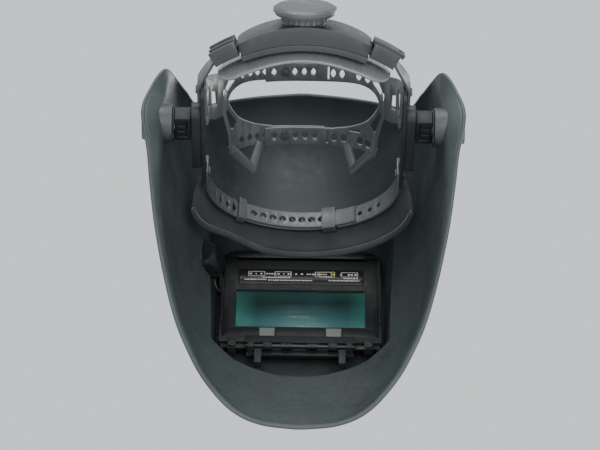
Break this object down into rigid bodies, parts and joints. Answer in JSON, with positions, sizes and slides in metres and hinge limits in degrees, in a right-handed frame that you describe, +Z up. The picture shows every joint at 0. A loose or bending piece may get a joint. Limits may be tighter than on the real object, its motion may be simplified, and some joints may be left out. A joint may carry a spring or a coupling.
{
  "type": "welding helmet",
  "caption": "Hard welding hood with a self-darkening filter window, side tilt pivots and an adjustable padded headband with a rear ratchet knob.",
  "frame": {"origin": "middle of the tilt axis between the two side pivots, in the centre of the head opening", "axes": "+X to the wearer's left, -Y the way the wearer faces, +Z up with the headband level"},
  "size_m": [0.2208, 0.2882, 0.3176],
  "materials": {
    "shell_plastic": "satin moulded black nylon",
    "inner_plastic": "black moulded plastic",
    "case_plastic": "fine grained black",
    "lcd": "dark blue-green liquid crystal stack",
    "filter_glass": "dark green mirror-coated glass",
    "clear_lens": "clear polycarbonate",
    "solar": "dark violet cell under glass",
    "sensor": "dark red window",
    "board": "green lacquer",
    "label": "printed black label",
    "steel": "zinc plated",
    "lead_sheath": "soft black sheath",
    "knob_plastic": "black moulded plastic",
    "pointer_white": "filled white mark",
    "brass": "moulded-in insert",
    "strap_plastic": "flexible polythene, slightly shiny",
    "sweat_cloth": "brushed foam-backed cloth",
    "housing_plastic": "black moulded plastic",
    "pad_plastic": "soft shiny nape pad",
    "pinion_plastic": "white acetal"
  },
  "bodies": {
    "headband": {"track_left": "strap_plastic", "track_right": "strap_plastic", "side_rail_left": "strap_plastic", "side_rail_right": "strap_plastic", "front_strap_left": "strap_plastic", "front_strap_right": "strap_plastic", "strap_buckle": "strap_plastic", "strap_keeper": "strap_plastic", "rail_studs": "strap_plastic", "sweatband": "sweat_cloth", "crown_half_left": "strap_plastic", "crown_half_right": "strap_plastic", "crown_studs": "strap_plastic"},
    "carriage": {"slide_block_left": "strap_plastic", "slide_block_right": "strap_plastic", "pivot_bolt_left": "steel", "pivot_bolt_right": "steel", "stop_disc_left": "inner_plastic", "stop_disc_right": "inner_plastic"},
    "shell": {"shell": "shell_plastic", "filter_holder": "inner_plastic", "filter_case_rear": "case_plastic", "filter_case_front": "case_plastic", "lcd_panel": "lcd", "front_glass": "filter_glass", "inner_cover_lens": "clear_lens", "outer_cover_lens": "clear_lens", "solar_cell": "solar", "light_sensors": "sensor", "circuit_board": "board", "label_plate": "label", "holder_screws": "steel", "bail_pin": "steel", "bail_spring": "steel", "shade_housing": "inner_plastic", "shade_bushing": "steel", "shade_lead": "lead_sheath", "lead_plug": "case_plastic"},
    "retaining_bail": {"retaining_bail": "inner_plastic"},
    "shade_knob": {"shade_knob": "knob_plastic", "shade_pointer": "pointer_white"},
    "tension_knob_left": {"tension_knob_left": "knob_plastic", "knob_insert_left": "brass"},
    "tension_knob_right": {"tension_knob_right": "knob_plastic", "knob_insert_right": "brass"},
    "rear_unit": {"rear_housing": "housing_plastic", "rear_base": "housing_plastic", "nape_pad": "pad_plastic", "strap_guides": "housing_plastic", "housing_screws": "steel"},
    "ratchet_knob": {"pinion": "pinion_plastic", "ratchet_knob": "knob_plastic", "click_ring": "pinion_plastic", "knob_screw": "steel"},
    "rear_strap_left": {"rear_strap_left": "strap_plastic"},
    "rear_strap_right": {"rear_strap_right": "strap_plastic"}
  },
  "joints": [
    {"name": "fore_aft", "type": "slide", "parent": "headband", "child": "carriage", "axis": [0, 1, 0], "range_m": [-0.02, 0.004]},
    {"name": "shell_tilt", "type": "hinge", "parent": "carriage", "child": "shell", "pos_m": [0, 0, 0], "axis": [-1, 0, 0], "range_deg": [0, 75]},
    {"name": "bail", "type": "hinge", "parent": "shell", "child": "retaining_bail", "pos_m": [0, -0.13486, -0.08819], "axis": [-1, 0, 0], "range_deg": [0, 70], "stiffness_Nm_per_rad": 0.004, "springref_deg": -20.05},
    {"name": "shade_knob_turn", "type": "hinge", "parent": "shell", "child": "shade_knob", "pos_m": [0.0715, -0.1201, -0.02563], "axis": [0.9397, -0.3404, -0.0328], "range_deg": [0, 270]},
    {"name": "tension_left", "type": "hinge", "parent": "carriage", "child": "tension_knob_left", "pos_m": [0.102, 0, 0], "axis": [1, 0, 0], "range_deg": [-180, 180]},
    {"name": "tension_right", "type": "hinge", "parent": "carriage", "child": "tension_knob_right", "pos_m": [-0.102, 0, 0], "axis": [1, 0, 0], "range_deg": [-180, 180]},
    {"name": "size_slide", "type": "slide", "parent": "headband", "child": "rear_unit", "axis": [0, 0.8339, 0.5519], "range_m": [0, 0.008]},
    {"name": "knob_turn", "type": "hinge", "parent": "rear_unit", "child": "ratchet_knob", "pos_m": [0, 0.09147, 0.01624], "axis": [0, 0.8339, 0.5519], "range_deg": [-5, 172]},
    {"name": "rack_left", "type": "hinge", "parent": "rear_unit", "child": "rear_strap_left", "pos_m": [0, -0.0136, -0.0533], "axis": [0, -0.5519, 0.8339], "range_deg": [-7, 7]},
    {"name": "rack_right", "type": "hinge", "parent": "rear_unit", "child": "rear_strap_right", "pos_m": [0, -0.0136, -0.0533], "axis": [0, -0.5519, 0.8339], "range_deg": [-7, 7]}
  ],
  "couplings": [
    {"joint": "knob_turn", "follows": "size_slide", "rad_per_m": 362.8},
    {"joint": "rack_left", "follows": "size_slide", "rad_per_m": -14.08},
    {"joint": "rack_right", "follows": "size_slide", "rad_per_m": 14.08}
  ]
}
